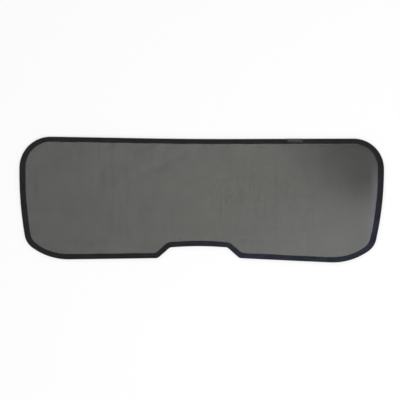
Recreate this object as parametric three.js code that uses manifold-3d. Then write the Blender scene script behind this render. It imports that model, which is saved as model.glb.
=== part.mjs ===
// A framed mesh sunshade for a car's window, lying flat with its front up.
// Millimetres, +Z up, +X to the right, +Y to the top edge. The origin is under the middle of its box.
// A spring wire, bent to the window's outline, runs in the fold of a sewn tape that grips the mesh's edge.
import * as THREE from 'three';
import { mergeVertices } from 'three/addons/utils/BufferGeometryUtils.js';
import Module from 'manifold-3d';

// Outline over the binding. Heights are above the hem at the notch, and insets are from the widest line.
// Each corner is where the stretches beside it would meet if it weren't rounded. A gentle bend has a reach,
// which is how far its arc runs along each of them.
const width = 1200;
const topLeftHeight = 402;
const topRightHeight = 394;
const topCornerRadius = 103;
const topMiddleHeight = 391.5;
const topMiddleX = -30;
const topSagReach = 160;
const sideBendHeight = 178;
const leftSideReach = 98;
const rightSideReach = 115;
const leftFootInset = 22;
const leftFootHeight = 49;
const rightFootInset = 31;
const rightFootHeight = 37.5;
const footRadius = 62;
const leftHemInset = 100;
const leftHemDrop = 5;
const rightHemInset = 109;
const rightHemDrop = 17.5;
const hemRadius = 200;

// Notch in the middle of the hem
const notchX = -10;
const notchMouthWidth = 269;
const notchTopWidth = 189;
const notchHeight = 35.5;
const notchCrownHeight = 42;
const notchCrownReach = 66;
const notchBendRadius = 13;
const tapeInnerBend = 2.5;

// Wire frame and the sleeve that joins its ends
const wireRadius = 1.75;
const wireEndGap = 1;
const sleeveLength = 30;
const sleeveWall = 0.35;

// Binding tape, folded round the wire, and the short cover over its ends
const bindingWidth = 17;
const tapeThickness = 0.8;
const tapeEndGap = 0.6;
const jointX = 307;
const coverLength = 50;
const coverThickness = 0.5;
const coverSetback = 1.2;

// Mesh: a wall with ridges along its wales, and open slots between them
const meshThickness = 0.8;
const meshWall = 0.4;
const walePitch = 20;
const waleTop = 6;
const waleFoot = 10;
const slotWidth = 3;
const slotLength = 58;
const slotPitch = 70;
const slotRows = 4;
const slotMargin = 6;
const firstRowHeight = 92;

// Clearance between pieces that touch, the most that a chord may leave its arc, and the straight left between arcs
const fit = 0.25;
const chordError = 0.25;
const straightShare = 0.02;

// Derived sizes
const sleeveBore = wireRadius + fit;
const sleeveRadius = sleeveBore + sleeveWall;
const pocketRadius = sleeveRadius + fit;
const bulbRadius = pocketRadius + tapeThickness;
const slitHalf = meshThickness / 2 + fit;
const meshInset = bulbRadius + sleeveRadius + fit;
const midHeight = bulbRadius;
const mouthBendRadius = bindingWidth + tapeInnerBend;

const corner = (x, y, arc) => ({ point: new THREE.Vector2(x, y), ...arc });

// The outline's corners, anticlockwise from the middle of the top edge
const corners = [
  corner(topMiddleX, topMiddleHeight, { reach: topSagReach }),
  corner(-width / 2, topLeftHeight, { radius: topCornerRadius }),
  corner(-width / 2, sideBendHeight, { reach: leftSideReach }),
  corner(leftFootInset - width / 2, leftFootHeight, { radius: footRadius }),
  corner(leftHemInset - width / 2, -leftHemDrop, { radius: hemRadius }),
  corner(notchX - notchMouthWidth / 2, 0, { radius: mouthBendRadius }),
  corner(notchX - notchTopWidth / 2, notchHeight, { radius: notchBendRadius }),
  corner(notchX, notchCrownHeight, { reach: notchCrownReach }),
  corner(notchX + notchTopWidth / 2, notchHeight, { radius: notchBendRadius }),
  corner(notchX + notchMouthWidth / 2, 0, { radius: mouthBendRadius }),
  corner(width / 2 - rightHemInset, -rightHemDrop, { radius: hemRadius }),
  corner(width / 2 - rightFootInset, rightFootHeight, { radius: footRadius }),
  corner(width / 2, sideBendHeight, { reach: rightSideReach }),
  corner(width / 2, topRightHeight, { radius: topCornerRadius }),
];

// Each corner with the directions beside it, its turn, and how far its arc would reach along them.
const bends = corners.map(({ point, radius, reach }, i) => {
  const arriving = point.clone().sub(corners.at(i - 1).point);
  const leaving = corners[(i + 1) % corners.length].point.clone().sub(point);
  const turn = Math.atan2(arriving.cross(leaving), arriving.dot(leaving));
  return {
    point,
    turn,
    reach: reach ?? radius * Math.tan(Math.abs(turn) / 2),
    direction: arriving.clone().normalize(),
    lengthBefore: arriving.length(),
  };
});

// Two arcs on one stretch share it, so each is limited to its share of the stretch where they would meet.
function stretchShare(bend, next) {
  return Math.min(1, ((1 - straightShare) * next.lengthBefore) / (bend.reach + next.reach));
}

// Rounds one corner into stations, each a point on the outer edge with the direction into the shade.
function roundedCorner(bend, index) {
  const next = bends[(index + 1) % bends.length];
  const share = Math.min(stretchShare(bends.at(index - 1), bend), stretchShare(bend, next));
  const reach = bend.reach * share;
  const radius = reach / Math.tan(Math.abs(bend.turn) / 2);
  const inward = new THREE.Vector2(-bend.direction.y, bend.direction.x);
  const start = bend.point.clone().addScaledVector(bend.direction, -reach);
  const centre = start.clone().addScaledVector(inward, Math.sign(bend.turn) * radius);
  const stepAngle = 2 * Math.acos(1 - chordError / radius);
  const steps = Math.max(3, Math.ceil(Math.abs(bend.turn) / stepAngle));
  return Array.from({ length: steps + 1 }, (_, step) => {
    const angle = (bend.turn * step) / steps;
    return {
      point: start.clone().rotateAround(centre, angle),
      inward: inward.clone().rotateAround(new THREE.Vector2(), angle),
    };
  });
}

const outline = bends.flatMap(roundedCorner);

const insetPoint = ({ point, inward }, inset) => point.clone().addScaledVector(inward, inset);

// The joint lies on the straight right of the top edge, which runs from the last station to the first.
const topRightEnd = outline.at(-1);
const topRun = outline[0].point.clone().sub(topRightEnd.point);
const topDirection = topRun.clone().normalize();
const jointDistance = (jointX - topRightEnd.point.x) / topDirection.x;

// A station on that straight stretch, so far past the joint in the direction of the outline.
function besideJoint(distance) {
  return {
    point: topRightEnd.point.clone().addScaledVector(topDirection, jointDistance + distance),
    inward: topRightEnd.inward,
  };
}

// The whole outline as an open path, with a gap at the joint.
const pathRound = (gap) => [besideJoint(gap / 2), ...outline, besideJoint(-gap / 2)];

// Carries a section along the stations and caps both ends. Section points are (inset, height), anticlockwise.
function sweep(section, stations) {
  const positions = stations.flatMap((station) =>
    section.flatMap(({ x, y }) => [...insetPoint(station, x).toArray(), y]),
  );
  const count = section.length;
  const faces = [];
  for (let ring = 0; ring < stations.length - 1; ring += 1) {
    for (let side = 0; side < count; side += 1) {
      const a = ring * count + side;
      const b = ring * count + ((side + 1) % count);
      faces.push(a, b, b + count, a, b + count, a + count);
    }
  }
  const lastRing = (stations.length - 1) * count;
  THREE.ShapeUtils.triangulateShape(section, []).forEach(([a, b, c]) => {
    faces.push(a, c, b);
    faces.push(lastRing + a, lastRing + b, lastRing + c);
  });
  const geometry = new THREE.BufferGeometry();
  geometry.setAttribute('position', new THREE.Float32BufferAttribute(positions, 3));
  geometry.setIndex(faces);
  return geometry;
}

// Upper half of the fold at so much above the tape's inner face, from the end of its leg to its outermost.
// The bulb's facets lie on the wire's circle, and one of them is level, so that the shade rests on it.
function foldHalf(above, legEnd) {
  const facet = Math.PI / 8;
  const radius = pocketRadius + above;
  const legHeight = slitHalf + above;
  const slope = Math.PI / 2 - facet;
  const knee = (radius - Math.sin(slope) * legHeight) / Math.cos(slope);
  const half = [
    new THREE.Vector2(legEnd, midHeight + legHeight),
    new THREE.Vector2(bulbRadius + knee, midHeight + legHeight),
  ];
  for (let angle = slope + facet / 2; angle < Math.PI; angle += facet) {
    const reach = radius / Math.cos(facet / 2);
    half.push(new THREE.Vector2(bulbRadius + reach * Math.cos(angle), midHeight + reach * Math.sin(angle)));
  }
  return half;
}

const mirrored = (half) => half.map(({ x, y }) => new THREE.Vector2(x, 2 * midHeight - y));

function bindingGeometry() {
  const outer = foldHalf(tapeThickness, bindingWidth);
  const inner = foldHalf(0, bindingWidth);
  const section = [...outer, ...mirrored(outer).reverse(), ...mirrored(inner), ...inner.toReversed()];
  return sweep(section, pathRound(tapeEndGap));
}

function coverGeometry() {
  const under = tapeThickness + fit;
  const legEnd = bindingWidth - coverSetback;
  const section = [...foldHalf(under + coverThickness, legEnd), ...foldHalf(under, legEnd).reverse()];
  return sweep(section, [besideJoint(-coverLength / 2), besideJoint(coverLength / 2)]);
}

function wireGeometry() {
  const sides = 8;
  const section = Array.from({ length: sides }, (_, side) => {
    const angle = (2 * Math.PI * side) / sides;
    const x = bulbRadius + wireRadius * Math.cos(angle);
    return new THREE.Vector2(x, midHeight + wireRadius * Math.sin(angle));
  });
  return sweep(section, pathRound(wireEndGap));
}

// A short tube whose bore keeps its full radius between the facets' corners.
function sleeveGeometry() {
  const sides = 16;
  const bore = sleeveBore / Math.cos(Math.PI / sides);
  const end = sleeveLength / 2;
  const profile = [
    new THREE.Vector2(bore, -end),
    new THREE.Vector2(sleeveRadius, -end),
    new THREE.Vector2(sleeveRadius, end),
    new THREE.Vector2(bore, end),
    new THREE.Vector2(bore, -end),
  ];
  return new THREE.LatheGeometry(profile, sides);
}

const wasm = await Module();
wasm.setup();

function toSolid(geometry) {
  geometry.deleteAttribute('normal');
  geometry.deleteAttribute('uv');
  const merged = mergeVertices(geometry);
  return new wasm.Manifold(new wasm.Mesh({
    numProp: 3,
    vertProperties: new Float32Array(merged.attributes.position.array),
    triVerts: new Uint32Array(merged.index.array),
  }));
}

function toGeometry(solid) {
  const { vertProperties, triVerts } = solid.getMesh();
  const geometry = new THREE.BufferGeometry();
  geometry.setAttribute('position', new THREE.Float32BufferAttribute(vertProperties, 3));
  geometry.setIndex(Array.from(triVerts));
  return geometry;
}

// The wales lie between the sides at an even pitch, with one in the middle.
const walesEachSide = Math.floor((width / 2 - meshInset) / walePitch);
const wales = Array.from({ length: 2 * walesEachSide + 1 }, (_, wale) => (wale - walesEachSide) * walePitch);

// The cloth before it is cut out: ridges on both faces, the same all the way up.
function ribbedCloth(bottom, top) {
  const ridge = wales.flatMap((x) => [
    new THREE.Vector2(x - waleFoot / 2, meshWall / 2),
    new THREE.Vector2(x - waleTop / 2, meshThickness / 2),
    new THREE.Vector2(x + waleTop / 2, meshThickness / 2),
    new THREE.Vector2(x + waleFoot / 2, meshWall / 2),
  ]);
  const face = [new THREE.Vector2(-width / 2, meshWall / 2), ...ridge, new THREE.Vector2(width / 2, meshWall / 2)];
  const back = face.map(({ x, y }) => new THREE.Vector2(x, -y)).reverse();
  const cloth = new THREE.ExtrudeGeometry(new THREE.Shape([...face, ...back]), {
    depth: top - bottom,
    bevelEnabled: false,
  });
  return toSolid(cloth.rotateX(Math.PI / 2).translate(0, top, midHeight));
}

// True where a point of the cloth shows between the binding's legs, with the margin clear round it.
const openField = outline.map((station) => insetPoint(station, bindingWidth + slotMargin));

function inOpenField(x, y) {
  return openField.reduce((inside, a, i) => {
    const b = openField.at(i - 1);
    const crosses = a.y > y !== b.y > y && x < a.x + ((b.x - a.x) * (y - a.y)) / (b.y - a.y);
    return crosses ? !inside : inside;
  }, false);
}

// Slots stand between the wales in rows that take turns, as the openings of a knitted mesh do.
function slotPlaces() {
  const places = [];
  wales.slice(1).forEach((wale, column) => {
    for (let row = column % 2; row < slotRows; row += 2) {
      places.push({ x: wale - walePitch / 2, y: firstRowHeight + row * slotPitch });
    }
  });
  return places.filter(({ x, y }) =>
    [-1, 1].every((side) => [-1, 1].every((end) => inOpenField(x + (side * slotWidth) / 2, y + (end * slotLength) / 2))),
  );
}

function meshGeometry() {
  const edge = outline.map((station) => insetPoint(station, meshInset));
  const heights = edge.map(({ y }) => y);
  const cutOut = new THREE.ExtrudeGeometry(new THREE.Shape(edge), { depth: 2 * midHeight, bevelEnabled: false });
  const cloth = ribbedCloth(Math.min(...heights) - bindingWidth, Math.max(...heights) + bindingWidth);
  const slot = toSolid(new THREE.BoxGeometry(slotWidth, slotLength, 2 * midHeight));
  const panel = slotPlaces().reduce(
    (rest, { x, y }) => rest.subtract(slot.translate([x, y, midHeight])),
    cloth.intersect(toSolid(cutOut)),
  );
  return toGeometry(panel);
}

const cloth = new THREE.MeshStandardMaterial({ color: 0x5f5f5b, roughness: 0.9, metalness: 0 });
const tape = new THREE.MeshStandardMaterial({ color: 0x28282a, roughness: 0.85, metalness: 0 });
const greyTape = new THREE.MeshStandardMaterial({ color: 0x4d4d4e, roughness: 0.8, metalness: 0 });
const springSteel = new THREE.MeshStandardMaterial({ color: 0x8d8f92, roughness: 0.35, metalness: 1 });
const aluminium = new THREE.MeshStandardMaterial({ color: 0xb4b6b8, roughness: 0.4, metalness: 1 });

const shade = new THREE.Group();

function addPiece(name, geometry, material) {
  const piece = new THREE.Mesh(geometry, material);
  piece.name = name;
  shade.add(piece);
  return piece;
}

addPiece('mesh_panel', meshGeometry(), cloth);
addPiece('edge_binding', bindingGeometry(), tape);
addPiece('wire_frame', wireGeometry(), springSteel);
addPiece('joint_cover', coverGeometry(), greyTape);

const sleeve = addPiece('wire_sleeve', sleeveGeometry(), aluminium);
const sleevePlace = insetPoint(besideJoint(0), bulbRadius);
sleeve.position.set(sleevePlace.x, sleevePlace.y, midHeight);
sleeve.rotation.z = topDirection.angle() - Math.PI / 2;

// The origin goes under the middle of the outline's box.
const box = new THREE.Box2().setFromPoints(outline.map(({ point }) => point));
const middle = box.getCenter(new THREE.Vector2());
shade.position.set(-middle.x, -middle.y, 0);

export default shade;
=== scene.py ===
"""Dresses a window sunshade's packed frame: mesh cloth, folded tape, stitches and joint cover."""
import math
import random
from collections import namedtuple

import bmesh
import bpy
from bpy.props import FloatProperty, FloatVectorProperty, PointerProperty
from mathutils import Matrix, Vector


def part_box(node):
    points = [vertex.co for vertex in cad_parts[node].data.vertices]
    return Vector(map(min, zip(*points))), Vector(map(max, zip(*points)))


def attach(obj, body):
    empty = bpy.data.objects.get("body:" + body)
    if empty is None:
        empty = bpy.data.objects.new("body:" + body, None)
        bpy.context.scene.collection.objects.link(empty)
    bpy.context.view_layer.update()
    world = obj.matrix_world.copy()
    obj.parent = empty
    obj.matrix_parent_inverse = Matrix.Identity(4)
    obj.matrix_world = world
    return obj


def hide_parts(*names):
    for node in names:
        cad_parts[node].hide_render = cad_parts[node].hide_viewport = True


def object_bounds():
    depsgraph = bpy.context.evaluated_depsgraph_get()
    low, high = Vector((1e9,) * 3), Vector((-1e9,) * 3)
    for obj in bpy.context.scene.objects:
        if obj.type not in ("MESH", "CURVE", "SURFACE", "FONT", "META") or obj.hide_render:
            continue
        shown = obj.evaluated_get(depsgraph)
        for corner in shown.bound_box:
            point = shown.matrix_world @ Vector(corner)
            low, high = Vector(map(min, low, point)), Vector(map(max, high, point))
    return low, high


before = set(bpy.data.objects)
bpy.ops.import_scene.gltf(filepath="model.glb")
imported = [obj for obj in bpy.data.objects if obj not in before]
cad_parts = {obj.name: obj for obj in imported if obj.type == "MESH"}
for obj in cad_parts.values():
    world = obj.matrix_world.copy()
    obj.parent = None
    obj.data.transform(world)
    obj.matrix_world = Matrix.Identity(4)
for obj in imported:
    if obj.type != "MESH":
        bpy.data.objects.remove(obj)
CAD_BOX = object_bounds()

bl_info = {
    "name": "Window Sunshade Dresser",
    "version": (1, 0, 0),
    "blender": (4, 5, 0),
    "location": "3D View > Sidebar > Sunshade",
    "description": "Builds the cloth parts of a framed mesh sunshade round its packed frame",
    "category": "Object",
}

MM = 0.001
PHOTO_SIDE = 400
METRES_PER_PIXEL = 3.29 * MM
SHADE_MIDDLE_PIXEL = (201.71, 199.56)

PANEL_LOW, PANEL_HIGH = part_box("mesh_panel")
RIM_LOW, RIM_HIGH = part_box("edge_binding")
COVER_LOW, COVER_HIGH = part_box("joint_cover")
MID_HEIGHT = (PANEL_LOW.z + PANEL_HIGH.z) / 2
BULB_RADIUS = (RIM_HIGH.z - RIM_LOW.z) / 2
PANEL_INSET = PANEL_LOW.x - RIM_LOW.x
JOINT_X = (COVER_LOW.x + COVER_HIGH.x) / 2
COVER_HALF = (COVER_HIGH.x - COVER_LOW.x) / 2

# The fold: where a leg leaves the bulb, how it settles on the cloth, and what the seam does to it
FOLD_LEAVE = math.radians(62)
FOLD_SETTLE = 4.6 * MM
FOLD_TURNS = 8
LEG_FREE = 4 * MM
EDGE_DROP = 0.14 * MM
EDGE_ROUND = 0.35 * MM
SEAM_SIDE = 1.1 * MM
SEAM_CLEAR = 2.4 * MM
SEAM_REACH = 0.8 * MM

# Gathers round the bends, bends in radians to the metre, and the lengths of the tape's slow waves
GATHER_PITCH = 10 * MM
GATHER_BEND = 12.0
GATHER_SLANT = 0.35
GATHER_DRIFT = 37 * MM
LIFT_WAVES = (61 * MM, 23 * MM)
EDGE_WAVE = 19 * MM
EDGE_WAVER = 0.35 * MM

# Distances from the middle between which the binding widens towards the two sides
SPREAD_FROM = 0.45
SPREAD_FULL = 0.54

# The painted highlight along the cloth's right rim: its side's X is RIM_SIDE + RIM_LEAN * Y + RIM_BOW *
# Y squared
RIM_SIDE = 0.573
RIM_LEAN = 0.055
RIM_BOW = -0.357
RIM_INNER, RIM_OUTER = 22 * MM, 10 * MM
RIM_END, RIM_FULL = 0.135, 0.085
# Bluish colour of the painted light on the cloth, low on the right and along the right rim
COOL_LIGHT_ON_THREAD = (0.086, 0.088, 0.100)
CREASE_TURN = math.radians(-32)

# A stitch from end to end: the share of its length from the middle, and of its radius
STITCH_SHAPE = ((-0.5, 0.35), (-0.42, 0.8), (-0.2, 1.0), (0.2, 1.0), (0.42, 0.8), (0.5, 0.35))

WELD = 0.002 * MM
TINY = 0.001 * MM

Station = namedtuple("Station", "point inward along bend")


class ClothSettings(bpy.types.PropertyGroup):
    """Sizes and colours of the mesh cloth"""

    pitch: FloatProperty(
        name="Thread pitch", description="From one thread to the next, both ways",
        default=1.3 * MM, min=0.5 * MM, subtype="DISTANCE", unit="LENGTH")
    thread_width: FloatProperty(
        name="Thread width", description="Width of a thread, seen from the front",
        default=0.88 * MM, min=0.1 * MM, subtype="DISTANCE", unit="LENGTH")
    thread_depth: FloatProperty(
        name="Thread depth", description="Thickness of one layer of threads",
        default=0.1 * MM, min=0.05 * MM, subtype="DISTANCE", unit="LENGTH")
    tucked: FloatProperty(
        name="Tucked edge", description="How far the cloth reaches in between the tape's legs",
        default=9 * MM, min=1 * MM, subtype="DISTANCE", unit="LENGTH")
    colour: FloatVectorProperty(
        name="Thread colour", description="Colour of the polyester thread in the middle of the shade",
        default=(0.088, 0.089, 0.080), size=3, min=0, max=1, subtype="COLOR")


class TapeSettings(bpy.types.PropertyGroup):
    """Sizes and colours of the binding tape"""

    width: FloatProperty(
        name="Binding width", description="From the outer edge to the end of each leg",
        default=17 * MM, min=10 * MM, subtype="DISTANCE", unit="LENGTH")
    thickness: FloatProperty(
        name="Tape thickness", description="Thickness of the woven tape",
        default=0.5 * MM, min=0.2 * MM, subtype="DISTANCE", unit="LENGTH")
    leg_height: FloatProperty(
        name="Leg height", description="From the middle of the mesh to the face of a leg",
        default=0.95 * MM, min=0.5 * MM, subtype="DISTANCE", unit="LENGTH")
    seam_inset: FloatProperty(
        name="Seam inset", description="From the end of a leg to the row of stitches",
        default=3 * MM, min=1 * MM, subtype="DISTANCE", unit="LENGTH")
    seam_depth: FloatProperty(
        name="Seam depth", description="How far the thread draws the legs together",
        default=0.16 * MM, min=0, subtype="DISTANCE", unit="LENGTH")
    station_step: FloatProperty(
        name="Station step", description="Step of the tape's mesh along the outline",
        default=2.4 * MM, min=1 * MM, subtype="DISTANCE", unit="LENGTH")
    end_gap: FloatProperty(
        name="End gap", description="Between the tape's two ends, under the cover",
        default=0.4 * MM, min=0, subtype="DISTANCE", unit="LENGTH")
    colour: FloatVectorProperty(
        name="Tape colour", description="Colour of the tape in its hollows",
        default=(0.007, 0.007, 0.007), size=3, min=0, max=1, subtype="COLOR")
    # The tape's paler colour, where it is dusty and where painted highlight falls on its ribs.
    dust_and_highlight_colour: FloatVectorProperty(
        name="Crown colour", description="Colour of the tape where it is rubbed, along its crown",
        default=(0.0175, 0.0170, 0.0210), size=3, min=0, max=1, subtype="COLOR")
    # Colour of the painted bluish light on the tape's paler parts, at the lower right.
    bluish_light_colour: FloatVectorProperty(
        name="Faded colour", description="Colour of the tape where it has faded, at the lower right",
        default=(0.032, 0.038, 0.063), size=3, min=0, max=1, subtype="COLOR")
    side_spread: FloatProperty(
        name="Side spread", description="How much wider the binding is sewn along the two sides",
        default=2.8 * MM, min=0, max=4 * MM, subtype="DISTANCE", unit="LENGTH")
    hem_spread: FloatProperty(
        name="Hem spread",
        description="How much wider the binding is sewn along the hem, and narrower along the top",
        default=0.5 * MM, min=0, max=2 * MM, subtype="DISTANCE", unit="LENGTH")
    pucker: FloatProperty(
        name="Pucker", description="Height of the gathers where the tape goes round a bend",
        default=0.32 * MM, min=0, subtype="DISTANCE", unit="LENGTH")


class StitchSettings(bpy.types.PropertyGroup):
    """Sizes and colours of the sewing thread"""

    pitch: FloatProperty(
        name="Stitch pitch", description="From one stitch to the next along the seam",
        default=3.6 * MM, min=1 * MM, subtype="DISTANCE", unit="LENGTH")
    length: FloatProperty(
        name="Stitch length", description="What shows of one stitch",
        default=3.0 * MM, min=1 * MM, subtype="DISTANCE", unit="LENGTH")
    thread: FloatProperty(
        name="Thread diameter", description="Diameter of the sewing thread",
        default=0.42 * MM, min=0.1 * MM, subtype="DISTANCE", unit="LENGTH")
    colour: FloatVectorProperty(
        name="Thread colour", description="Colour of the sewing thread",
        default=(0.020, 0.020, 0.022), size=3, min=0, max=1, subtype="COLOR")


class CoverSettings(bpy.types.PropertyGroup):
    """Sizes and colours of the short cover over the tape's joint"""

    lift: FloatProperty(
        name="Lift", description="From the binding's face to the cover's face",
        default=0.55 * MM, min=0.1 * MM, subtype="DISTANCE", unit="LENGTH")
    setback: FloatProperty(
        name="Setback", description="From the end of the binding's leg to the cover's edge",
        default=1.2 * MM, min=0, subtype="DISTANCE", unit="LENGTH")
    hem: FloatProperty(
        name="Folded end", description="Length of the end that is folded under, left and right",
        default=2.6 * MM, min=0, subtype="DISTANCE", unit="LENGTH")
    slant: FloatProperty(
        name="Slant",
        description="How far the left end leans, for each unit of width across the binding",
        default=0.8, min=0, max=2)
    colour: FloatVectorProperty(
        name="Cover colour", description="Colour of the cover's outer half",
        default=(0.060, 0.060, 0.060), size=3, min=0, max=1, subtype="COLOR")
    shade_colour: FloatVectorProperty(
        name="Shaded colour", description="Colour of the cover's inner half",
        default=(0.008, 0.008, 0.008), size=3, min=0, max=1, subtype="COLOR")


class StageSettings(bpy.types.PropertyGroup):
    """Light, floor and camera"""

    sky: FloatProperty(
        name="Sky", description="Strength of the even light from all round",
        default=0.74, min=0)
    lamp_watts: FloatProperty(
        name="Lamp power", description="Power of the large soft lamp overhead",
        default=66.0, min=0, unit="POWER")
    lens: FloatProperty(
        name="Lens", description="Focal length of the camera, in millimetres",
        default=135.0, min=20)
    floor_size: FloatProperty(
        name="Floor size", description="Side of the floor", default=14.0, min=2, unit="LENGTH")
    floor_colour: FloatVectorProperty(
        name="Floor colour", description="Colour of the floor",
        default=(0.97, 0.97, 0.97), size=3, min=0, max=1, subtype="COLOR")
    floor_white: FloatProperty(
        name="Floor white",
        description="How far the floor is lifted towards white where the camera sees it",
        default=0.45, min=0, max=1)


# Outline

def widest_loop(section):
    """Keeps only the widest closed loop of a flat section, which is the panel's own edge."""
    start = min(section.verts, key=lambda vert: vert.co.x)
    loop = [start]
    edge = start.link_edges[0]
    vert = edge.other_vert(start)
    while vert is not start:
        loop.append(vert)
        edge = next(other for other in vert.link_edges if other is not edge)
        vert = edge.other_vert(vert)
    kept = set(loop)
    bmesh.ops.delete(section, geom=[v for v in section.verts if v not in kept], context="VERTS")


def panel_edge():
    """The points of the panel's cut edge, anticlockwise, with the facets of its corners rounded off."""
    section = bmesh.new()
    section.from_mesh(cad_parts["mesh_panel"].data)
    bmesh.ops.remove_doubles(section, verts=section.verts[:], dist=WELD)
    bmesh.ops.bisect_plane(
        section, geom=section.verts[:] + section.edges[:] + section.faces[:],
        plane_co=(0, 0, MID_HEIGHT), plane_no=(0, 0, 1), clear_inner=True, clear_outer=True)
    bmesh.ops.remove_doubles(section, verts=section.verts[:], dist=WELD)
    widest_loop(section)
    bmesh.ops.contextual_create(section, geom=section.verts[:] + section.edges[:])
    bmesh.ops.dissolve_limit(
        section, angle_limit=math.radians(0.1), verts=section.verts[:], edges=section.edges[:])
    bmesh.ops.bevel(
        section, geom=section.verts[:], offset=45, offset_type="PERCENT", segments=4, profile=0.5,
        affect="VERTICES", clamp_overlap=False, material=-1)
    face = max(section.faces, key=lambda f: f.calc_area())
    face.normal_update()
    points = [vert.co.to_2d() for vert in face.verts]
    if face.normal.z < 0:
        points.reverse()
    section.free()
    return points


def inward_directions(points):
    """The way into the shade at each point of a closed run, longer at bends to keep insets even."""
    count = len(points)
    sides = [(points[(i + 1) % count] - points[i]).normalized() for i in range(count)]
    normals = [Vector((-side.y, side.x)) for side in sides]
    found = []
    for i in range(count):
        middle = (normals[i - 1] + normals[i]).normalized()
        found.append(middle / max(0.5, middle.dot(normals[i])))
    return found


def even_run(points, step):
    """Evenly spaced points round a closed run, from its first point, and their spacing."""
    closed = points + points[:1]
    total = sum((b - a).length for a, b in zip(closed, closed[1:]))
    spacing = total / round(total / step)
    run, wait = [], 0.0
    for a, b in zip(closed, closed[1:]):
        length = (b - a).length
        while wait < length - TINY:
            run.append(a.lerp(b, wait / length))
            wait += spacing
        wait -= length
    return run, spacing


def from_joint(points):
    """The same closed run, starting at the joint on the top edge."""
    count = len(points)
    for i, a in enumerate(points):
        b = points[(i + 1) % count]
        if a.y > 0 and b.y > 0 and a.x > JOINT_X >= b.x:
            joint = a.lerp(b, (a.x - JOINT_X) / (a.x - b.x))
            return [joint] + points[i + 1:] + points[:i + 1]
    raise RuntimeError("no stretch of the top edge passes the joint")


def outline(step):
    """Even stations round the outer edge, from the joint and back to it, for a strip with two ends."""
    panel = panel_edge()
    edge = [p - n * PANEL_INSET for p, n in zip(panel, inward_directions(panel))]
    points, spacing = even_run(from_joint(edge), step)
    inward = inward_directions(points)
    count = len(points)
    stations = []
    for i in range(count + 1):
        here, before, after = points[i % count], points[(i - 1) % count], points[(i + 1) % count]
        arriving, leaving = (here - before).normalized(), (after - here).normalized()
        turn = math.atan2(arriving.cross(leaving), arriving.dot(leaving))
        stations.append(Station(here, inward[i % count], i * spacing, turn / spacing))
    return smoothed_bend(stations)


def smoothed_bend(stations, reach=6):
    """Evens out the bend of each station over its neighbours."""
    bends = [station.bend for station in stations]
    ring = bends[:-1]
    count = len(ring)
    return [
        station._replace(
            bend=sum(ring[(i + k) % count] for k in range(-reach, reach + 1)) / (2 * reach + 1))
        for i, station in enumerate(stations)
    ]


def placed(station, inset, height):
    """The place at an inset from the outer edge and a height above the middle of the mesh."""
    point = station.point + station.inward * inset
    return Vector((point.x, point.y, MID_HEIGHT + height))


def progress(value, start, end):
    """How far a value has come from a start to an end, from 0 to 1."""
    return min(1.0, max(0.0, (value - start) / (end - start)))


def puckered(station, inset, height, tape):
    """As placed, with the fold's leg gathered up round a bend and a little uneven everywhere."""
    leg = progress(inset, 2 * BULB_RADIUS, 2 * BULB_RADIUS + LEG_FREE)
    side = 1 if height > 0 else -1
    tight = progress(abs(station.bend), 0.0, GATHER_BEND)
    slant = station.along + side * GATHER_SLANT * inset
    wave = math.sin(2 * math.pi * slant / GATHER_PITCH + 2.1 * math.sin(slant / GATHER_DRIFT))
    slow = math.sin(slant / LIFT_WAVES[0]) * math.sin(slant / LIFT_WAVES[1] + side)
    lift = tape.pucker * leg * (tight * (0.5 + 0.5 * wave) + 0.35 * (0.5 + 0.5 * slow))
    waver = EDGE_WAVER * leg * (math.sin(slant / EDGE_WAVE) + 0.6 * tight * wave)
    spread = leg * (tape.side_spread * near_side(station) + tape.hem_spread * station.inward.y)
    return placed(station, inset + waver + spread, height + side * lift)


def near_side(station):
    """1 along the left and right sides, falling to 0 round their corners."""
    return progress(abs(station.point.x), SPREAD_FROM, SPREAD_FULL) * station.inward.x ** 2


# Making pieces

def linked(name, data):
    """A new object in the scene."""
    thing = bpy.data.objects.new(name, data)
    bpy.context.scene.collection.objects.link(thing)
    return thing


def meshed(name, form, material):
    """A new object made of a bmesh, with one material."""
    mesh = bpy.data.meshes.new(name)
    form.to_mesh(mesh)
    form.free()
    mesh.materials.append(material)
    return linked(name, mesh)


def finished(name, form, material, smooth=True):
    """Turns a bmesh into a piece that rides on the shade's only body."""
    for face in form.faces:
        face.smooth = smooth
    piece = meshed(name, form, material)
    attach(piece, "root")
    return piece


def drawn_on(form, edges):
    """Extrudes a row of edges. Gives the new vertices and the new row."""
    made = bmesh.ops.extrude_edge_only(form, edges=edges)["geom"]
    verts = {item for item in made if isinstance(item, bmesh.types.BMVert)}
    row = [
        item for item in made
        if isinstance(item, bmesh.types.BMEdge) and item.verts[0] in verts and item.verts[1] in verts
    ]
    return verts, row


def swept_strip(stations, section, tape):
    """A strip along the stations, extruded from each point of the section to the next.

    Its UV map has the length along the outline as U and the length across the strip as V, in metres."""
    strip = bmesh.new()
    number = strip.verts.layers.int.new("station")
    bend = strip.verts.layers.float.new("bend")
    across = strip.verts.layers.float.new("across")
    row = []
    for i, station in enumerate(stations):
        vert = strip.verts.new(puckered(station, *section[0], tape))
        vert[number] = i
        vert[bend] = station.bend
        row.append(vert)
    edges = [strip.edges.new(pair) for pair in zip(row, row[1:])]
    reached = 0.0
    for before, here in zip(section, section[1:]):
        reached += math.dist(before, here)
        verts, edges = drawn_on(strip, edges)
        for vert in verts:
            vert.co = puckered(stations[vert[number]], *here, tape)
            vert[across] = reached
    chart = strip.loops.layers.uv.new("cloth")
    for face in strip.faces:
        for loop in face.loops:
            loop[chart].uv = (stations[loop.vert[number]].along, loop.vert[across])
    bmesh.ops.recalc_face_normals(strip, faces=strip.faces[:])
    return strip


def solidified(piece, thickness, offset=-1):
    """Gives a sheet its thickness: inwards from its faces, or half to each side for an offset of 0."""
    wall = piece.modifiers.new("thickness", "SOLIDIFY")
    wall.thickness = thickness
    wall.offset = offset
    return piece


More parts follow.
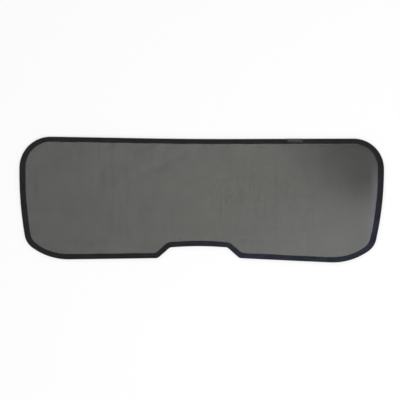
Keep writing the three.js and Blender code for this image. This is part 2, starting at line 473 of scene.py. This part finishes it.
def fold_half(tape, lift=0.0, setback=0.0):
    """Upper half of the fold's face as (inset, height), from the end of its leg to its outermost."""
    end = tape.width - setback
    seam = tape.width - tape.seam_inset
    bulb = BULB_RADIUS + lift
    face = tape.leg_height + lift
    inner, high = BULB_RADIUS + bulb * math.cos(FOLD_LEAVE), bulb * math.sin(FOLD_LEAVE)
    slope = -FOLD_SETTLE / math.tan(FOLD_LEAVE)
    half = [(end, face - EDGE_DROP)]
    leg = (end - EDGE_ROUND, seam + SEAM_SIDE, seam, seam - SEAM_SIDE, seam - SEAM_CLEAR)
    for inset in sorted(leg, reverse=True):
        drawn = tape.seam_depth * math.exp(-((inset - seam) / SEAM_REACH) ** 2)
        half.append((inset, face - drawn))
    for step in (0.75, 0.5, 0.25):
        half.append((inner + FOLD_SETTLE * step, leg_curve(step, high, slope, face)))
    for k in range(FOLD_TURNS + 1):
        angle = FOLD_LEAVE + (math.pi - FOLD_LEAVE) * k / FOLD_TURNS
        half.append((BULB_RADIUS + bulb * math.cos(angle), bulb * math.sin(angle)))
    return half


def leg_curve(step, high, slope, low):
    """Height at a step from 0 to 1 of a curve that starts high with a slope and ends low and level."""
    return (
        high * (2 * step ** 3 - 3 * step ** 2 + 1)
        + slope * (step ** 3 - 2 * step ** 2 + step)
        + low * (3 * step ** 2 - 2 * step ** 3)
    )


# Node groups and materials

def new_group(name, inputs, outputs):
    """An empty shader node group with the sockets named, and its input and output nodes."""
    group = bpy.data.node_groups.new(name, "ShaderNodeTree")
    for label, kind, default in inputs:
        socket = group.interface.new_socket(name=label, in_out="INPUT", socket_type=kind)
        if default is not None:
            socket.default_value = default
    for label, kind in outputs:
        group.interface.new_socket(name=label, in_out="OUTPUT", socket_type=kind)
    return group, group.nodes.new("NodeGroupInput"), group.nodes.new("NodeGroupOutput")


def feed(tree, source, target):
    """Links a socket, or sets a plain value."""
    if isinstance(source, bpy.types.NodeSocket):
        tree.links.new(source, target)
    else:
        target.default_value = source


def math_node(tree, operation, *values, clamp=False):
    """The outcome of a Math node, fed with the values in order."""
    node = tree.nodes.new("ShaderNodeMath")
    node.operation = operation
    node.use_clamp = clamp
    for value, socket in zip(values, node.inputs):
        feed(tree, value, socket)
    return node.outputs[0]


def vector_node(tree, operation, *values):
    """A Vector Math node, fed with the values in order."""
    node = tree.nodes.new("ShaderNodeVectorMath")
    node.operation = operation
    for value, socket in zip(values, node.inputs):
        feed(tree, value, socket)
    return node


def ranged(tree, value, low, high, ends=(0.0, 1.0), curve="LINEAR"):
    """The first end at a low value, the second at a high one, and between them by the curve."""
    node = tree.nodes.new("ShaderNodeMapRange")
    node.interpolation_type = curve
    feed(tree, value, node.inputs["Value"])
    feed(tree, low, node.inputs["From Min"])
    feed(tree, high, node.inputs["From Max"])
    feed(tree, ends[0], node.inputs["To Min"])
    feed(tree, ends[1], node.inputs["To Max"])
    return node.outputs["Result"]


def parts(tree, vector):
    """The X, Y and Z of a vector, by name."""
    node = tree.nodes.new("ShaderNodeSeparateXYZ")
    feed(tree, vector, node.inputs[0])
    return node.outputs


def blend(tree, factor, first, second):
    """Mixes two colours."""
    node = tree.nodes.new("ShaderNodeMix")
    node.data_type = "RGBA"
    feed(tree, factor, node.inputs["Factor"])
    feed(tree, first, node.inputs[6])
    feed(tree, second, node.inputs[7])
    return node.outputs[2]


def woven_ribs():
    """Plain weave: two families of threads that take turns on top. Gives the height, from 0 to 1."""
    group, source, sink = new_group(
        "Woven Ribs",
        [("Vector", "NodeSocketVector", None), ("Along Pitch", "NodeSocketFloat", 0.001),
         ("Across Pitch", "NodeSocketFloat", 0.001)],
        [("Height", "NodeSocketFloat")])
    place = parts(group, source.outputs["Vector"])
    threads = []
    for axis, pitch in (("X", "Along Pitch"), ("Y", "Across Pitch")):
        count = math_node(group, "DIVIDE", place[axis], source.outputs[pitch])
        threads.append(math_node(group, "SINE", math_node(group, "MULTIPLY", count, math.pi)))
    over = math_node(group, "MULTIPLY", *threads)
    feed(group, math_node(group, "MULTIPLY_ADD", over, 0.5, 0.5), sink.inputs["Height"])
    return group


def mottling():
    """Soft uneven tone over a surface, from 0 to 1 and mostly near a half."""
    group, source, sink = new_group(
        "Mottling",
        [("Vector", "NodeSocketVector", None), ("Scale", "NodeSocketFloat", 20.0),
         ("Stretch", "NodeSocketVector", (1.0, 1.0, 1.0)), ("Detail", "NodeSocketFloat", 3.0)],
        [("Tone", "NodeSocketFloat")])
    stretched = vector_node(group, "MULTIPLY", source.outputs["Vector"], source.outputs["Stretch"])
    noise = group.nodes.new("ShaderNodeTexNoise")
    feed(group, stretched.outputs[0], noise.inputs["Vector"])
    feed(group, source.outputs["Scale"], noise.inputs["Scale"])
    feed(group, source.outputs["Detail"], noise.inputs["Detail"])
    noise.inputs["Roughness"].default_value = 0.55
    feed(group, noise.outputs["Fac"], sink.inputs["Tone"])
    return group


def soft_spot():
    """A round spot that fades from 1 at its centre to 0 at its reach."""
    group, source, sink = new_group(
        "Soft Spot",
        [("Vector", "NodeSocketVector", None), ("Centre", "NodeSocketVector", (0.0, 0.0, 0.0)),
         ("Squash", "NodeSocketVector", (1.0, 1.0, 0.0)), ("Reach", "NodeSocketFloat", 0.2)],
        [("Mask", "NodeSocketFloat")])
    offset = vector_node(group, "SUBTRACT", source.outputs["Vector"], source.outputs["Centre"])
    squashed = vector_node(group, "MULTIPLY", offset.outputs[0], source.outputs["Squash"])
    length = vector_node(group, "LENGTH", squashed.outputs[0]).outputs["Value"]
    mask = ranged(group, length, 0.0, source.outputs["Reach"], (1.0, 0.0), "SMOOTHERSTEP")
    feed(group, mask, sink.inputs["Mask"])
    return group


def use_group(tree, name, make, **values):
    """Places a shared group in a material with its own values. The group is made on its first use."""
    node = tree.nodes.new("ShaderNodeGroup")
    node.node_tree = bpy.data.node_groups.get(name) or make()
    for label, value in values.items():
        feed(tree, value, node.inputs[label.replace("_", " ")])
    return node.outputs[0]


def ribbed(tree, where, along, across):
    return use_group(
        tree, "Woven Ribs", woven_ribs, Vector=where, Along_Pitch=along, Across_Pitch=across)


def mottled(tree, where, scale, detail=3.0, stretch=(1.0, 1.0, 1.0)):
    return use_group(
        tree, "Mottling", mottling, Vector=where, Scale=scale, Detail=detail, Stretch=stretch)


def spot(tree, where, centre, squash, reach):
    return use_group(
        tree, "Soft Spot", soft_spot, Vector=where, Centre=(*centre, 0.0), Squash=(*squash, 0.0),
        Reach=reach)


def new_material(name, roughness, metallic=0.0):
    """A material with one Principled shader, and its tree and shader."""
    material = bpy.data.materials.new(name)
    material.use_nodes = True
    tree = material.node_tree
    shader = next(node for node in tree.nodes if node.type == "BSDF_PRINCIPLED")
    shader.inputs["Roughness"].default_value = roughness
    shader.inputs["Metallic"].default_value = metallic
    return material, tree, shader


def coordinates(tree, output):
    return tree.nodes.new("ShaderNodeTexCoord").outputs[output]


def bumped(tree, shader, height, distance):
    bump = tree.nodes.new("ShaderNodeBump")
    bump.inputs["Distance"].default_value = distance
    feed(tree, height, bump.inputs["Height"])
    feed(tree, bump.outputs["Normal"], shader.inputs["Normal"])


def colour4(colour, share=1.0):
    return (*(part * share for part in colour), 1.0)


def side_rim_highlight(tree, place):
    """Mask of a painted highlight: the paler band of cloth along the right side of the binding, bowed
    as the side is.
    """
    bow = math_node(tree, "MULTIPLY_ADD", place["Y"], RIM_BOW, RIM_LEAN)
    side = math_node(tree, "MULTIPLY_ADD", bow, place["Y"], RIM_SIDE)
    inside = math_node(tree, "SUBTRACT", side, place["X"])
    band = ranged(tree, inside, RIM_INNER, RIM_OUTER, curve="SMOOTHSTEP")
    from_middle = math_node(tree, "ABSOLUTE", place["Y"])
    window = ranged(tree, from_middle, RIM_END, RIM_FULL, curve="SMOOTHSTEP")
    return math_node(tree, "MULTIPLY", band, window)


def mesh_thread_material(cloth):
    """Dull grey polyester thread, unevenly dyed from wale to wale, with painted light and shade over
    the width of the cloth.
    """
    material, tree, shader = new_material("mesh_thread", 0.82)
    where = coordinates(tree, "Object")
    place = parts(tree, where)
    streaks = mottled(tree, where, 16.0, 4.0, (5.0, 0.6, 1.0))
    clouds = mottled(tree, where, 9.0, 3.0, (1.0, 1.4, 1.0))
    # Painted light low on the right, and painted shade high on the right and in a narrow band between
    # them.
    pale = spot(tree, where, (0.46, -0.22), (0.8, 1.2), 0.42)
    shaded_patch = spot(tree, where, (0.56, 0.20), (0.75, 1.0), 0.30)
    shaded_band = spot(tree, where, (0.53, 0.045), (0.8, 1.9), 0.17)
    # Painted light and shade along slanted creases near the middle of the cloth.
    slant = tree.nodes.new("ShaderNodeMapping")
    slant.inputs["Rotation"].default_value = (0.0, 0.0, CREASE_TURN)
    feed(tree, where, slant.inputs["Vector"])
    creases = mottled(tree, slant.outputs[0], 9.0, 3.0, (0.5, 4.0, 1.0))
    creased = spot(tree, where, (-0.05, 0.09), (1.0, 2.0), 0.42)
    crease_shading = math_node(tree, "MULTIPLY", math_node(tree, "SUBTRACT", creases, 0.5), creased)
    rim = side_rim_highlight(tree, place)
    # Darker to the left, a painted shade. The streaks and clouds add 0.45 on average, which makes it 1
    # in the middle.
    tone = ranged(tree, place["X"], -0.62, 0.02, (0.19, 0.55))
    weights = (
        (streaks, 0.6), (clouds, 0.3), (crease_shading, 0.7),
        (pale, 0.30), (shaded_patch, -0.80), (shaded_band, -0.19), (rim, 0.30))
    for mask, weight in weights:
        tone = math_node(tree, "MULTIPLY_ADD", mask, weight, tone)
    # Painted light and shade where the threads cross over and under each other.
    over = ribbed(tree, where, cloth.pitch, cloth.pitch)
    tone = math_node(tree, "MULTIPLY", tone, math_node(tree, "MULTIPLY_ADD", over, 0.3, 0.85))
    # Share of the bluish painted light: low on the right and along the right rim.
    cool_light_share = math_node(tree, "MULTIPLY_ADD", pale, 0.3, rim, clamp=True)
    dyed = vector_node(tree, "SCALE", blend(tree, cool_light_share, colour4(cloth.colour), colour4(COOL_LIGHT_ON_THREAD)))
    feed(tree, tone, dyed.inputs["Scale"])
    feed(tree, dyed.outputs[0], shader.inputs["Base Color"])
    bumped(tree, shader, mottled(tree, where, 2500.0, 2.0), 0.05 * MM)
    shader.inputs["Specular IOR Level"].default_value = 0.12
    return material


def tape_material(tape):
    """Near-black woven tape: ribs across it with painted highlights on their tops, paler dusty patches,
    painted bluish light towards the lower right, and gathers where it goes round a bend.
    """
    material, tree, shader = new_material("binding_weave", 0.78)
    chart = coordinates(tree, "UV")
    where = coordinates(tree, "Object")
    place = parts(tree, chart)
    ribs = ribbed(tree, chart, 0.9 * MM, 0.6 * MM)
    dust = mottled(tree, where, 28.0, 4.0)
    grain = mottled(tree, where, 900.0)
    bend = tree.nodes.new("ShaderNodeAttribute")
    bend.attribute_name = "bend"
    gathered = ranged(tree, math_node(tree, "ABSOLUTE", bend.outputs["Fac"]), 2.5, GATHER_BEND)
    slanted = math_node(tree, "MULTIPLY_ADD", place["Y"], 0.45, place["X"])
    waves = math_node(tree, "SINE", math_node(tree, "MULTIPLY", slanted, 2 * math.pi / (9 * MM)))
    gathers = math_node(tree, "MULTIPLY", math_node(tree, "MULTIPLY", waves, gathered), 3.0)
    # Paler where the tape is dusty, and a painted highlight on the tops of its ribs.
    lights = math_node(tree, "MULTIPLY_ADD", ribs, 0.35, math_node(tree, "MULTIPLY", dust, 1.3))
    lights = math_node(tree, "SUBTRACT", lights, 0.3, clamp=True)
    # Painted bluish light over the lower right of the tape.
    brightened = spot(tree, where, (0.34, -0.24), (0.9, 1.4), 0.62)
    lightened = blend(tree, brightened, colour4(tape.dust_and_highlight_colour), colour4(tape.bluish_light_colour))
    feed(tree, blend(tree, lights, colour4(tape.colour), lightened), shader.inputs["Base Color"])
    height = math_node(tree, "MULTIPLY_ADD", grain, 0.6, ribs)
    bumped(tree, shader, math_node(tree, "ADD", height, gathers), 0.06 * MM)
    shader.inputs["Specular IOR Level"].default_value = 0.12
    shader.inputs["Sheen Weight"].default_value = 0.03
    shader.inputs["Sheen Roughness"].default_value = 0.5
    return material


def cover_material(cover):
    """Grey woven tape, paler over its outer half, darker in painted shade over its inner half, and with
    painted highlights at its folded ends.
    """
    material, tree, shader = new_material("cover_weave", 0.7)
    chart = coordinates(tree, "UV")
    place = parts(tree, chart)
    ribs = ribbed(tree, chart, 0.5 * MM, 0.5 * MM)
    dust = mottled(tree, coordinates(tree, "Object"), 170.0)
    # The outer half takes the paler colour and the inner half the shaded colour, a painted shade.
    outer = ranged(tree, place["Y"], 2 * MM, 13 * MM)
    # Painted highlight on the raised folded ends.
    hem_start = COVER_HALF - cover.hem
    hem = ranged(tree, math_node(tree, "ABSOLUTE", place["X"]), hem_start - 1.2 * MM, hem_start)
    tone = math_node(tree, "MULTIPLY", math_node(tree, "SUBTRACT", dust, 0.5), 2.2)
    # Painted light and shade of the weave's ribs.
    tone = math_node(tree, "MULTIPLY_ADD", ribs, 0.2, tone)
    tone = math_node(tree, "MULTIPLY_ADD", hem, 0.6, tone)
    tone = math_node(tree, "ADD", tone, outer, clamp=True)
    dyed = blend(tree, tone, colour4(cover.shade_colour), colour4(cover.colour))
    feed(tree, dyed, shader.inputs["Base Color"])
    shader.inputs["Specular IOR Level"].default_value = 0.15
    bumped(tree, shader, ribs, 0.05 * MM)
    shader.inputs["Sheen Weight"].default_value = 0.04
    return material


def stitch_material(stitch):
    """Twisted sewing thread."""
    material, tree, shader = new_material("sewing_thread", 0.6)
    twist = mottled(tree, coordinates(tree, "Object"), 1500.0, 2.0)
    tone = math_node(tree, "MULTIPLY_ADD", twist, 0.8, 0.1, clamp=True)
    dyed = blend(tree, tone, colour4(stitch.colour, 0.6), colour4(stitch.colour, 1.5))
    feed(tree, dyed, shader.inputs["Base Color"])
    bumped(tree, shader, twist, 0.05 * MM)
    return material


def metal_material(name, colour, roughness, scale, stretch):
    """Drawn metal with fine lengthwise marks."""
    material, tree, shader = new_material(name, roughness, 1.0)
    marks = mottled(tree, coordinates(tree, "Object"), scale, 3.0, stretch)
    bare = blend(tree, marks, colour4(colour, 0.85), colour4(colour, 1.1))
    feed(tree, bare, shader.inputs["Base Color"])
    rough = math_node(tree, "MULTIPLY_ADD", marks, 0.25, roughness - 0.1)
    feed(tree, rough, shader.inputs["Roughness"])
    return material


# Operators

def spans(edge, axis, level):
    """Where a straight thread at a level of one axis is over the cloth, as pairs along the other."""
    other = 1 - axis
    crossings = []
    for i, a in enumerate(edge):
        b = edge[i - 1]
        if (a[axis] > level) != (b[axis] > level):
            reached = (level - a[axis]) / (b[axis] - a[axis])
            crossings.append(a[other] + (b[other] - a[other]) * reached)
    crossings.sort()
    return list(zip(crossings[::2], crossings[1::2]))


class SUNSHADE_OT_mesh_cloth(bpy.types.Operator):
    """Lay the wales and the courses of the mesh cloth, each thread cut to the outline"""

    bl_idname = "sunshade.mesh_cloth"
    bl_label = "Mesh Cloth"

    def execute(self, context):
        cloth = context.scene.sunshade_cloth
        inset = context.scene.sunshade_tape.width - cloth.tucked
        edge = [station.point + station.inward * inset for station in outline(8 * MM)[:-1]]
        chance = random.Random(7)
        form = bmesh.new()
        ahead = form.verts.layers.float_vector.new("ahead")
        for axis, layer in ((0, 0.5), (1, -0.5)):
            low = min(point[axis] for point in edge)
            high = max(point[axis] for point in edge)
            for number in range(math.ceil(low / cloth.pitch), math.floor(high / cloth.pitch)):
                level = (number + 0.5 + chance.uniform(-0.03, 0.03)) * cloth.pitch
                breadth = cloth.thread_width * chance.uniform(0.96, 1.04)
                height = MID_HEIGHT + layer * cloth.thread_depth
                for start, end in spans(edge, axis, level):
                    ends = []
                    for side in (-0.5, 0.5):
                        corner, length = [0.0, 0.0, height], [0.0, 0.0, 0.0]
                        corner[axis], corner[1 - axis] = level + side * breadth, start
                        length[1 - axis] = end - start
                        ends.append(form.verts.new(corner))
                        ends[-1][ahead] = length
                    form.edges.new(ends)
        for vert in drawn_on(form, form.edges[:])[0]:
            vert.co += vert[ahead]
        piece = finished("mesh_cloth", form, mesh_thread_material(cloth), smooth=False)
        solidified(piece, cloth.thread_depth, 0)
        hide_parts("mesh_panel")
        return {"FINISHED"}


class SUNSHADE_OT_binding(bpy.types.Operator):
    """Fold the binding tape round the wire and over the edge of the cloth"""

    bl_idname = "sunshade.binding"
    bl_label = "Edge Binding"

    def execute(self, context):
        tape = context.scene.sunshade_tape
        stations = outline(tape.station_step)
        ends = stations[0], stations[-1]
        side = Vector((1, 0)) * tape.end_gap / 2
        stations[0] = ends[0]._replace(point=ends[0].point - side)
        stations[-1] = ends[1]._replace(point=ends[1].point + side)
        upper = fold_half(tape)
        lower = [(inset, -height) for inset, height in reversed(upper)]
        form = swept_strip(stations, upper + lower[1:], tape)
        face_outwards(form)
        piece = finished("binding_tape", form, tape_material(tape))
        solidified(piece, tape.thickness)
        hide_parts("edge_binding")
        return {"FINISHED"}


def face_outwards(strip):
    """Turns an open strip so that its highest faces look up."""
    top = max(strip.faces, key=lambda face: face.calc_center_median().z)
    if top.normal.z < 0:
        bmesh.ops.reverse_faces(strip, faces=strip.faces[:])


def seam_places(stations, inset, height, pitch, tape):
    """Even places along a seam on the tape's face, as (place, direction, length from the joint)."""
    run = [puckered(station, inset, height, tape) for station in stations]
    total = stations[-1].along
    places, wait = [], pitch / 2
    for station, a, b in zip(stations, run, run[1:]):
        length = (b - a).length
        while wait <= length:
            from_joint_on = min(station.along, total - station.along)
            places.append((a.lerp(b, wait / length), (b - a).normalized(), from_joint_on))
            wait += pitch
        wait -= length
    return places


def cover_end_places(stations, tape, cover, stitch):
    """Stitches of the cover's folded ends, each as (middle, direction). The left row leans."""
    profile = fold_half(tape, cover.lift, cover.setback)
    found = []
    for end in (-1, 1):
        insets = [BULB_RADIUS * 0.4 + k * stitch.pitch * 0.62 for k in range(7)]
        for inset, reach in zip(insets, insets[1:]):
            if reach > tape.width - tape.seam_inset - 0.5 * MM:
                break
            ends = []
            for here in (inset, reach - 0.5 * MM):
                lean = cover.slant * (BULB_RADIUS * 2 - here) if end > 0 else 0.0
                along = end * (COVER_HALF - 0.6 * cover.hem + lean)
                ends.append(surface_place(stations, profile, along, here, 0.2 * MM))
            found.append((ends[0].lerp(ends[1], 0.5), (ends[1] - ends[0]).normalized()))
    return found


def surface_place(stations, profile, along, inset, rise):
    """The place on the front of a fold near the joint, at a length along it and an inset."""
    spacing = stations[1].along
    whole = stations[:-1]
    count = len(whole)
    step = math.floor(along / spacing)
    past = along / spacing - step
    before, after = whole[step % count], whole[(step + 1) % count]
    place = before.point.lerp(after.point, past) + before.inward * inset
    for (far, high), (near, low) in zip(profile, profile[1:]):
        if near <= inset <= far:
            height = low + (high - low) * (inset - near) / max(far - near, TINY)
            return Vector((*place, MID_HEIGHT + height + rise))
    raise RuntimeError("no point of the fold lies at that inset")


def stitch_rows(lines, length, radius, sides=5):
    """Rounded stitches, one for each (middle, direction), drawn out ring by ring and closed."""
    form = bmesh.new()
    owner = form.verts.layers.int.new("stitch")
    turn = form.verts.layers.int.new("turn")

    def place(vert, step):
        middle, direction = lines[vert[owner]]
        angle = 2 * math.pi * vert[turn] / sides
        aside = direction.cross(Vector((0, 0, 1))).normalized()
        out = aside * math.cos(angle) + aside.cross(direction) * math.sin(angle)
        vert.co = middle + direction * length * step[0] + out * radius * step[1]

    starts = []
    for number in range(len(lines)):
        ring = [form.verts.new() for _ in range(sides)]
        for k, vert in enumerate(ring):
            vert[owner], vert[turn] = number, k
            place(vert, STITCH_SHAPE[0])
        starts += [form.edges.new((ring[k - 1], ring[k])) for k in range(sides)]
    edges = starts
    for step in STITCH_SHAPE[1:]:
        verts, edges = drawn_on(form, edges)
        for vert in verts:
            place(vert, step)
    bmesh.ops.holes_fill(form, edges=starts + edges, sides=sides)
    bmesh.ops.recalc_face_normals(form, faces=form.faces[:])
    return form


class SUNSHADE_OT_stitching(bpy.types.Operator):
    """Sew the legs of the tape together through the cloth, with a row of stitches on each face"""

    bl_idname = "sunshade.stitching"
    bl_label = "Stitching"

    def execute(self, context):
        tape = context.scene.sunshade_tape
        cover = context.scene.sunshade_cover
        stitch = context.scene.sunshade_stitch
        stations = outline(tape.station_step)
        face = tape.leg_height - tape.seam_depth + stitch.thread * 0.18
        lines = cover_end_places(stations, tape, cover, stitch)
        for side in (-1, 1):
            inset = tape.width - tape.seam_inset
            seam = seam_places(stations, inset, side * face, stitch.pitch, tape)
            for place, direction, from_joint_on in seam:
                raised = side * cover.lift if from_joint_on < COVER_HALF else 0.0
                lines.append((place + Vector((0, 0, raised)), direction))
        form = stitch_rows(lines, stitch.length, stitch.thread / 2)
        piece = finished("hem_stitches", form, stitch_material(stitch))
        return {"FINISHED"}


def trim_ends(form, stations, cover):
    """Thickens the cover's folded ends, and cuts the left one at a slant across the front."""
    number = form.verts.layers.int["station"]
    ends = stations[0].along, stations[-1].along
    middle = BULB_RADIUS * 2
    for vert in form.verts:
        station = stations[vert[number]]
        along = Vector((station.inward.y, -station.inward.x))
        inset = (vert.co.to_2d() - station.point).dot(station.inward)
        front = vert.co.z > MID_HEIGHT
        from_end = min(station.along - ends[0], ends[1] - station.along)
        if front and from_end < cover.hem:
            vert.co.z += 0.2 * MM
        if front and station.along > 0:
            lean = cover.slant * (middle - inset) * station.along / ends[1]
            vert.co += (along * lean).to_3d()


class SUNSHADE_OT_joint_cover(bpy.types.Operator):
    """Lay the short grey cover over the joint of the tape, on the front"""

    bl_idname = "sunshade.joint_cover"
    bl_label = "Joint Cover"

    def execute(self, context):
        tape = context.scene.sunshade_tape
        cover = context.scene.sunshade_cover
        stations = outline(tape.station_step / 2)
        total = stations[-1].along
        before = [
            station._replace(along=station.along - total)
            for station in stations[:-1] if station.along > total - COVER_HALF
        ]
        after = [station for station in stations if station.along < COVER_HALF]
        form = swept_strip(before + after, fold_half(tape, cover.lift, cover.setback), tape)
        trim_ends(form, before + after, cover)
        face_outwards(form)
        piece = finished("cover_patch", form, cover_material(cover))
        solidified(piece, cover.lift * 0.8)
        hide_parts("joint_cover")
        return {"FINISHED"}


class SUNSHADE_OT_wire(bpy.types.Operator):
    """Give the wire and its sleeve their metal"""

    bl_idname = "sunshade.wire"
    bl_label = "Wire and Sleeve"

    def execute(self, context):
        steel = metal_material("drawn_steel", (0.42, 0.42, 0.43), 0.35, 300.0, (1.0, 1.0, 1.0))
        tube = metal_material("sleeve_aluminium", (0.62, 0.63, 0.64), 0.4, 500.0, (0.1, 1.0, 1.0))
        for name, material in (("wire_frame", steel), ("wire_sleeve", tube)):
            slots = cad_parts[name].data.materials
            slots.clear()
            slots.append(material)
        return {"FINISHED"}


class SUNSHADE_OT_stage(bpy.types.Operator):
    """Set up the pale floor, the even light and the camera straight above"""

    bl_idname = "sunshade.stage"
    bl_label = "Stage"

    def execute(self, context):
        stage = context.scene.sunshade_stage
        add_floor(stage)
        add_sky(stage)
        add_lamp(stage)
        add_camera(stage)
        context.scene.view_settings.view_transform = "Standard"
        return {"FINISHED"}


def seen_directly(tree):
    """1 for the camera, a reflection or a refraction, and 0 where the surface only gives light."""
    path = tree.nodes.new("ShaderNodeLightPath")
    seen = path.outputs["Is Camera Ray"]
    for ray in ("Is Glossy Ray", "Is Transmission Ray"):
        seen = math_node(tree, "ADD", seen, path.outputs[ray], clamp=True)
    return seen


def add_floor(stage):
    """A wide pale floor just under the shade, lifted towards white where the camera sees it."""
    form = bmesh.new()
    bmesh.ops.create_grid(form, x_segments=1, y_segments=1, size=stage.floor_size / 2)
    bmesh.ops.translate(form, verts=form.verts[:], vec=(0, 0, CAD_BOX[0].z - 0.1 * MM))
    material, tree, shader = new_material("floor", 0.9)
    tone = mottled(tree, coordinates(tree, "Object"), 2.0, 2.0)
    paint = blend(tree, tone, colour4(stage.floor_colour), colour4(stage.floor_colour, 0.995))
    feed(tree, paint, shader.inputs["Base Color"])
    shader.inputs["Specular IOR Level"].default_value = 0.1
    glow = tree.nodes.new("ShaderNodeEmission")
    mix = tree.nodes.new("ShaderNodeMixShader")
    feed(tree, math_node(tree, "MULTIPLY", seen_directly(tree), stage.floor_white), mix.inputs[0])
    feed(tree, shader.outputs[0], mix.inputs[1])
    feed(tree, glow.outputs[0], mix.inputs[2])
    sink = next(node for node in tree.nodes if node.type == "OUTPUT_MATERIAL")
    feed(tree, mix.outputs[0], sink.inputs["Surface"])
    meshed("floor", form, material)


def add_sky(stage):
    """White all round: full strength where the camera or a reflection sees it, and softer as light."""
    world = bpy.data.worlds.new("sky")
    bpy.context.scene.world = world
    world.use_nodes = True
    tree = world.node_tree
    background = next(node for node in tree.nodes if node.type == "BACKGROUND")
    strength = math_node(tree, "MULTIPLY_ADD", seen_directly(tree), 1.0 - stage.sky, stage.sky)
    background.inputs["Color"].default_value = (1, 1, 1, 1)
    feed(tree, strength, background.inputs["Strength"])


def add_lamp(stage):
    """One large soft lamp, high up and a little towards the lower right."""
    light = bpy.data.lights.new("overhead", "AREA")
    light.shape = "DISK"
    light.size = 3.0
    light.energy = stage.lamp_watts
    lamp = linked("overhead", light)
    lamp.location = (1.2, -1.0, 4.2)
    lamp.rotation_euler = (-lamp.location).to_track_quat("-Z", "Y").to_euler()


def add_camera(stage):
    """Straight above, as far off as brings the photograph's frame over the shade."""
    data = bpy.data.cameras.new("camera")
    data.lens = stage.lens
    data.clip_end = 100
    frame_width = PHOTO_SIDE * METRES_PER_PIXEL
    distance = frame_width * stage.lens / data.sensor_width
    across = (PHOTO_SIDE / 2 - SHADE_MIDDLE_PIXEL[0]) * METRES_PER_PIXEL
    up = (SHADE_MIDDLE_PIXEL[1] - PHOTO_SIDE / 2) * METRES_PER_PIXEL
    camera = linked("camera", data)
    camera.location = (across, up, MID_HEIGHT + distance)
    bpy.context.scene.camera = camera


OPERATORS = (
    SUNSHADE_OT_stage,
    SUNSHADE_OT_mesh_cloth,
    SUNSHADE_OT_binding,
    SUNSHADE_OT_stitching,
    SUNSHADE_OT_joint_cover,
    SUNSHADE_OT_wire,
)

SETTINGS = {
    "sunshade_cloth": ClothSettings,
    "sunshade_tape": TapeSettings,
    "sunshade_stitch": StitchSettings,
    "sunshade_cover": CoverSettings,
    "sunshade_stage": StageSettings,
}


class SUNSHADE_PT_sidebar(bpy.types.Panel):
    """Lists the steps that dress the sunshade, with their sizes and colours"""

    bl_idname = "SUNSHADE_PT_sidebar"
    bl_label = "Window Sunshade"
    bl_space_type = "VIEW_3D"
    bl_region_type = "UI"
    bl_category = "Sunshade"

    def draw(self, context):
        for step in OPERATORS:
            self.layout.operator(step.bl_idname)
        for name, group in SETTINGS.items():
            box = self.layout.box()
            box.label(text=group.__doc__)
            for key in group.__annotations__:
                box.prop(getattr(context.scene, name), key)


def register():
    for group in SETTINGS.values():
        bpy.utils.register_class(group)
    for step in OPERATORS:
        bpy.utils.register_class(step)
    bpy.utils.register_class(SUNSHADE_PT_sidebar)
    for name, group in SETTINGS.items():
        setattr(bpy.types.Scene, name, PointerProperty(type=group))


def unregister():
    for name in SETTINGS:
        delattr(bpy.types.Scene, name)
    bpy.utils.unregister_class(SUNSHADE_PT_sidebar)
    for step in reversed(OPERATORS):
        bpy.utils.unregister_class(step)
    for group in reversed(list(SETTINGS.values())):
        bpy.utils.unregister_class(group)


def declare_cloth():
    """Finds the points of the panel's cut edge, and does nothing more with them."""
    edge = panel_edge()


def main():
    register()
    bpy.ops.sunshade.stage()
    bpy.ops.sunshade.mesh_cloth()
    bpy.ops.sunshade.binding()
    bpy.ops.sunshade.stitching()
    bpy.ops.sunshade.joint_cover()
    bpy.ops.sunshade.wire()
    declare_cloth()


if __name__ == "__main__":
    main()
